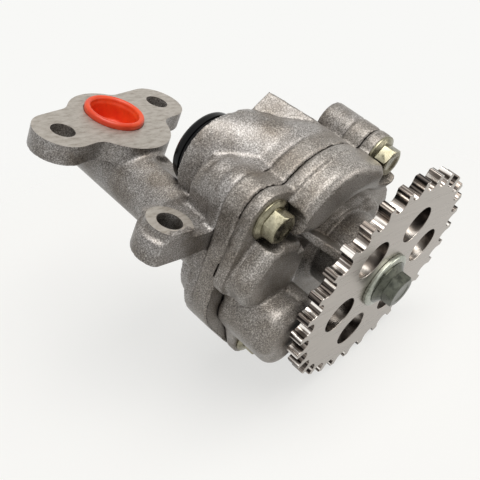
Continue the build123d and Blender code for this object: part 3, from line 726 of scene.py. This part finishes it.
def turned(name, profile, sides=128):
    # a ring is extruded from point to point of the profile, given as radius and height in millimetres
    bpy.ops.object.select_all(action="DESELECT")
    radius, height = profile[0]
    bpy.ops.mesh.primitive_circle_add(vertices=sides, radius=radius / 1000, location=(0, 0, height / 1000))
    piece = bakePlace(bpy.context.object)
    piece.name = name
    bpy.ops.object.mode_set(mode="EDIT")
    bpy.ops.mesh.select_all(action="SELECT")
    for (oldRadius, oldHeight), (radius, height) in zip(profile, profile[1:]):
        rise = (0, 0, (height - oldHeight) / 1000)
        bpy.ops.mesh.extrude_region_move(TRANSFORM_OT_translate={"value": rise})
        ratio = radius / oldRadius
        bpy.ops.transform.resize(value=(ratio, ratio, 1), center_override=(0, 0, height / 1000))
    bpy.ops.object.mode_set(mode="OBJECT")
    return cleanNormals(piece, merge=0.00003)


def arcPoints(centre, radius, fromDegrees, toDegrees, steps):
    angles = [math.radians(fromDegrees + (toDegrees - fromDegrees) * i / steps) for i in range(steps + 1)]
    return [(centre[0] + radius * math.cos(a), centre[1] + radius * math.sin(a)) for a in angles]


# Hexagon bolts in millimetres; hex is the width across flats, and spin turns a corner from +x
flangeBolt = {
    "hex": 10.0, "top": 6.5, "dish": 3.0, "dishDeep": 0.15, "spin": 53.9, "bevel": 0.14,
    "flange": 8.0, "flangeEdge": 0.8, "cone": 6.2, "coneTop": 1.7,
    "shank": 4.0, "length": 22.0,
}
sprocketBolt = {
    "hex": 12.0, "top": 6.8, "dish": 4.4, "dishDeep": 0.25, "spin": 8.7, "bevel": 0.16,
    "flange": 9.6, "flangeEdge": 0.35, "cone": 6.9, "coneTop": 2.3,
    "shank": 4.0, "length": 26.2,
}
screwPlug = {
    "hex": 17.0, "top": 6.0, "dish": 6.6, "dishDeep": 0.6, "spin": 0.0, "bevel": 0.2,
    "flange": 0.0, "shank": 7.6, "length": 8.7,
}
boltForm = {
    "chamferIn": 0.05,
    "chamferAngle": 60,
    "dishIn": 0.6,
    "dishFlare": 2.0,
    "dishOver": 1.0,
    "coneIn": 0.3,
    "coneSink": 0.1,
    "tip": 1.0,
    "tipIn": 0.8,
    "tipLap": 0.02,
    "shankInHead": 0.5,
    "bevelAngle": 25,
    "segments": 2,
    "smoothAngle": 35,
}


def hexBolt(name, spec):
    top = spec["top"]
    corner = spec["hex"] / 2 / math.cos(math.pi / 6)
    head = prism(0.0, top, corner, sides=6, spin=spec["spin"] - 90)  # the primitive's first corner is on +y
    chamferTop = spec["hex"] / 2 - boltForm["chamferIn"]
    chamferFoot = chamferTop + math.tan(math.radians(boltForm["chamferAngle"])) * top
    combine(head, prism(0.0, top, chamferFoot, tipRadius=chamferTop), "INTERSECT")
    dish = prism(top - spec["dishDeep"], top + boltForm["dishOver"], spec["dish"] - boltForm["dishIn"],
                 tipRadius=spec["dish"] + boltForm["dishFlare"])
    combine(head, dish, "DIFFERENCE")
    if spec["flange"]:
        flange = prism(0.0, spec["flangeEdge"], spec["flange"])
        cone = prism(spec["flangeEdge"] - boltForm["coneSink"], spec["coneTop"],
                     spec["flange"] - boltForm["coneIn"], tipRadius=spec["cone"])
        combine(flange, cone, "UNION")
        combine(head, flange, "UNION")
    shankEnd = boltForm["tip"] - spec["length"]
    shank = prism(shankEnd, boltForm["shankInHead"], spec["shank"])
    tip = prism(-spec["length"], shankEnd + boltForm["tipLap"], spec["shank"] - boltForm["tipIn"],
                tipRadius=spec["shank"])
    combine(shank, tip, "UNION")
    combine(head, shank, "UNION")
    head.name = name
    cleanNormals(head)
    addModifier(head, "BEVEL", width=spec["bevel"] / 1000, segments=boltForm["segments"],
                limit_method="ANGLE", angle_limit=math.radians(boltForm["bevelAngle"]),
                use_clamp_overlap=True)
    return smoothByAngle(head, boltForm["smoothAngle"])


# Thick washer under the sprocket's bolt: its rim is rounded and its outer face slightly domed
washer = {
    "radius": 12.1,
    "bore": 4.3,
    "thick": 2.2,
    "round": 0.8,
    "arc": 75,
    "steps": 5,
    "flat": 9.8,
    "dome": 0.35,
    "rimEase": 0.2,
    "boreEase": 0.3,
    "smoothAngle": 40,
}


def makeFasteners():
    first = hexBolt("coverBolt1", flangeBolt)
    for index, place in enumerate(pump["bolts"]):
        bolt = first.copy()
        bolt.data = first.data.copy()
        bolt.name = f"coverBolt{index + 1}"
        scene.collection.objects.link(bolt)
        placeAt(bolt, atStation(place, pump["coverFace"]))
        finish(bolt, materialOf["cover_bolts"], "housing", ["cover_bolts"])
    bpy.data.objects.remove(first)
    bolt = placeAt(hexBolt("sprocketBolt", sprocketBolt), atStation((0, 0), -washer["thick"]))
    finish(bolt, materialOf["sprocket_bolt"], "drive_train", ["sprocket_bolt"])
    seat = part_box("relief_washer")[1].y
    plug = hexBolt("reliefScrewPlug", screwPlug)
    placeAt(plug, Vector((reliefCentre.x, seat, reliefCentre.z)), outOfBack)
    finish(plug, materialOf["cover_bolts"], "housing", ["relief_plug"])


def makeWasher():
    outer, bore, thick, edge = washer["radius"], washer["bore"], washer["thick"], washer["round"]
    rimEase, boreEase = washer["rimEase"], washer["boreEase"]
    arcHeight = thick - washer["dome"] - edge
    profile = [(bore, 0.0), (outer - rimEase, 0.0), (outer, rimEase)]
    profile += arcPoints((outer - edge, arcHeight), edge, 0, washer["arc"], washer["steps"])
    profile += [(washer["flat"], thick), (bore + boreEase, thick), (bore, thick - boreEase), (bore, 0.0)]
    piece = smoothByAngle(turned("thickWasher", profile), washer["smoothAngle"])
    placeAt(piece, atStation((0, 0), 0))
    finish(piece, materialOf["sprocket_washer"], "drive_train", ["sprocket_washer"])


# Sprocket: a blanked plate, so its edges are only broken; the bevel's width is in millimetres
sprocketEdges = {
    "bevel": 0.28,
    "segments": 2,
    "flatWithin": 1.5,
    "sharpFrom": 50,
    "smoothAngle": 35,
    "faceWeight": 80,
}


def makeSprocket():
    piece = copyNode("sprocket", "chainSprocket")
    selectOnly(piece)
    bpy.ops.object.mode_set(mode="EDIT")
    bpy.ops.mesh.select_all(action="SELECT")
    bpy.ops.mesh.dissolve_limited(angle_limit=math.radians(sprocketEdges["flatWithin"]))
    bpy.ops.object.mode_set(mode="OBJECT")
    addModifier(piece, "BEVEL", width=sprocketEdges["bevel"] / 1000, segments=sprocketEdges["segments"],
                limit_method="ANGLE", angle_limit=math.radians(sprocketEdges["sharpFrom"]),
                use_clamp_overlap=True)
    smoothByAngle(piece, sprocketEdges["smoothAngle"])
    addModifier(piece, "WEIGHTED_NORMAL", weight=sprocketEdges["faceWeight"], keep_sharp=True)
    finish(piece, materialOf["sprocket"], "drive_train", ["sprocket"])


axisRadius = 0.01  # a turned profile starts and ends this far from its axis, and the points are merged

# Outlet plug: a cup with a thick rounded rim; heights in millimetres from the flange's face
outletPlug = {
    "stem": 9.9,
    "stemRound": 1.2,
    "deep": 8.0,
    "rim": 11.55,
    "rimFoot": -0.75,
    "rimEase": 0.5,
    "rimSide": [(-0.1, -0.2), (0.0, 0.25)],  # radius from the rim's own, and height
    "bead": 1.15,
    "top": 2.35,
    "beadFall": 0.4,
    "wall": 1.15,
    "throat": [(0.1, 0.2), (0.0, -0.6)],  # radius from the inner wall's, and height
    "floor": 1.2,
    "cupRound": 1.4,
    "gateMark": [(3.2, 0.0), (2.9, 0.25), (0.9, 0.25), (0.7, 0.5), (axisRadius, 0.5)],  # over the floor
    "smoothAngle": 50,
}


def makeOutletPlug():
    stem, rim, bead, top = outletPlug["stem"], outletPlug["rim"], outletPlug["bead"], outletPlug["top"]
    corner, cupRound = outletPlug["stemRound"], outletPlug["cupRound"]
    inner = stem - outletPlug["wall"]
    end = -outletPlug["deep"]
    floor = end + outletPlug["floor"]
    profile = [(axisRadius, end), (stem - corner, end)]
    profile += arcPoints((stem - corner, end + corner), corner, -90, 0, 4)
    profile += [(stem, outletPlug["rimFoot"]), (rim - outletPlug["rimEase"], outletPlug["rimFoot"])]
    profile += [(rim + across, height) for across, height in outletPlug["rimSide"]]
    profile += arcPoints((rim - bead, top - bead), bead, 0, 180, 10)
    profile += [(rim - 2 * bead, top - bead - outletPlug["beadFall"])]
    profile += [(inner + across, height) for across, height in outletPlug["throat"]]
    profile += arcPoints((inner - cupRound, floor + cupRound), cupRound, 0, -90, 5)
    profile += [(radius, floor + height) for radius, height in outletPlug["gateMark"]]
    piece = smoothByAngle(turned("outletPlugCup", profile), outletPlug["smoothAngle"])
    finish(piece, materialOf["outlet_plug"], "outlet_plug", ["outlet_plug"])


# Suction cap: a disc on a short stem in the port; its face and its rim each have a groove
suctionCap = {
    "radius": 14.35,
    "thick": 6.7,
    "round": 2.2,
    "faceGroove": [(0.55, 0.0), (0.60, 0.5), (0.66, 0.0)],  # share of the radius, and depth
    "rimGroove": [(0.0, -3.1), (-0.5, -2.8), (-0.5, -2.3), (0.0, -2.0)],  # radius from the rim's, and height
    "seat": 0.05,
    "seatEase": 0.4,
    "stem": 10.9,
    "stemEase": 0.6,
    "stemLength": 5.9,
    "wall": 1.6,
    "face": 2.0,
    "smoothAngle": 45,
}


def makeSuctionCap():
    # heights run from the dome's face outward, so they are negative along the sprocket's way out
    outer, thick, edge = suctionCap["radius"], suctionCap["thick"], suctionCap["round"]
    stem, stemLength, stemEase = suctionCap["stem"], suctionCap["stemLength"], suctionCap["stemEase"]
    seat, seatEase = suctionCap["seat"], suctionCap["seatEase"]
    inner = stem - suctionCap["wall"]
    behindFace = suctionCap["face"] - thick
    profile = [(axisRadius, -thick)]
    profile += [(outer * share, depth - thick) for share, depth in suctionCap["faceGroove"]]
    profile += arcPoints((outer - edge, edge - thick), edge, -90, 0, 6)
    profile += [(outer + across, height) for across, height in suctionCap["rimGroove"]]
    profile += [(outer, -seat - seatEase), (outer - seatEase, -seat), (stem, -seat)]
    profile += [(stem, stemLength - stemEase), (stem - stemEase, stemLength)]
    profile += [(inner, stemLength), (inner, behindFace), (axisRadius, behindFace)]
    piece = smoothByAngle(turned("suctionCapDisc", profile), suctionCap["smoothAngle"])
    placeAt(piece, Vector((capCentre.x, faceY + pump["domeBack"] / 1000, capCentre.z)))
    finish(piece, materialOf["suction_cap"], "suction_cap", ["suction_cap"])


for nodeName in castings:
    casting = finish(makeCasting(nodeName), materialOf[nodeName], "housing", [nodeName])
    triangles = sum(len(face.vertices) - 2 for face in casting.data.polygons)
    print("stage:", casting.name, "cast and machined,", triangles, "triangles")
makeFasteners()
makeWasher()
print("stage: bolts and washer made")
makeSprocket()
makeOutletPlug()
makeSuctionCap()
print("stage: plug and cap made")
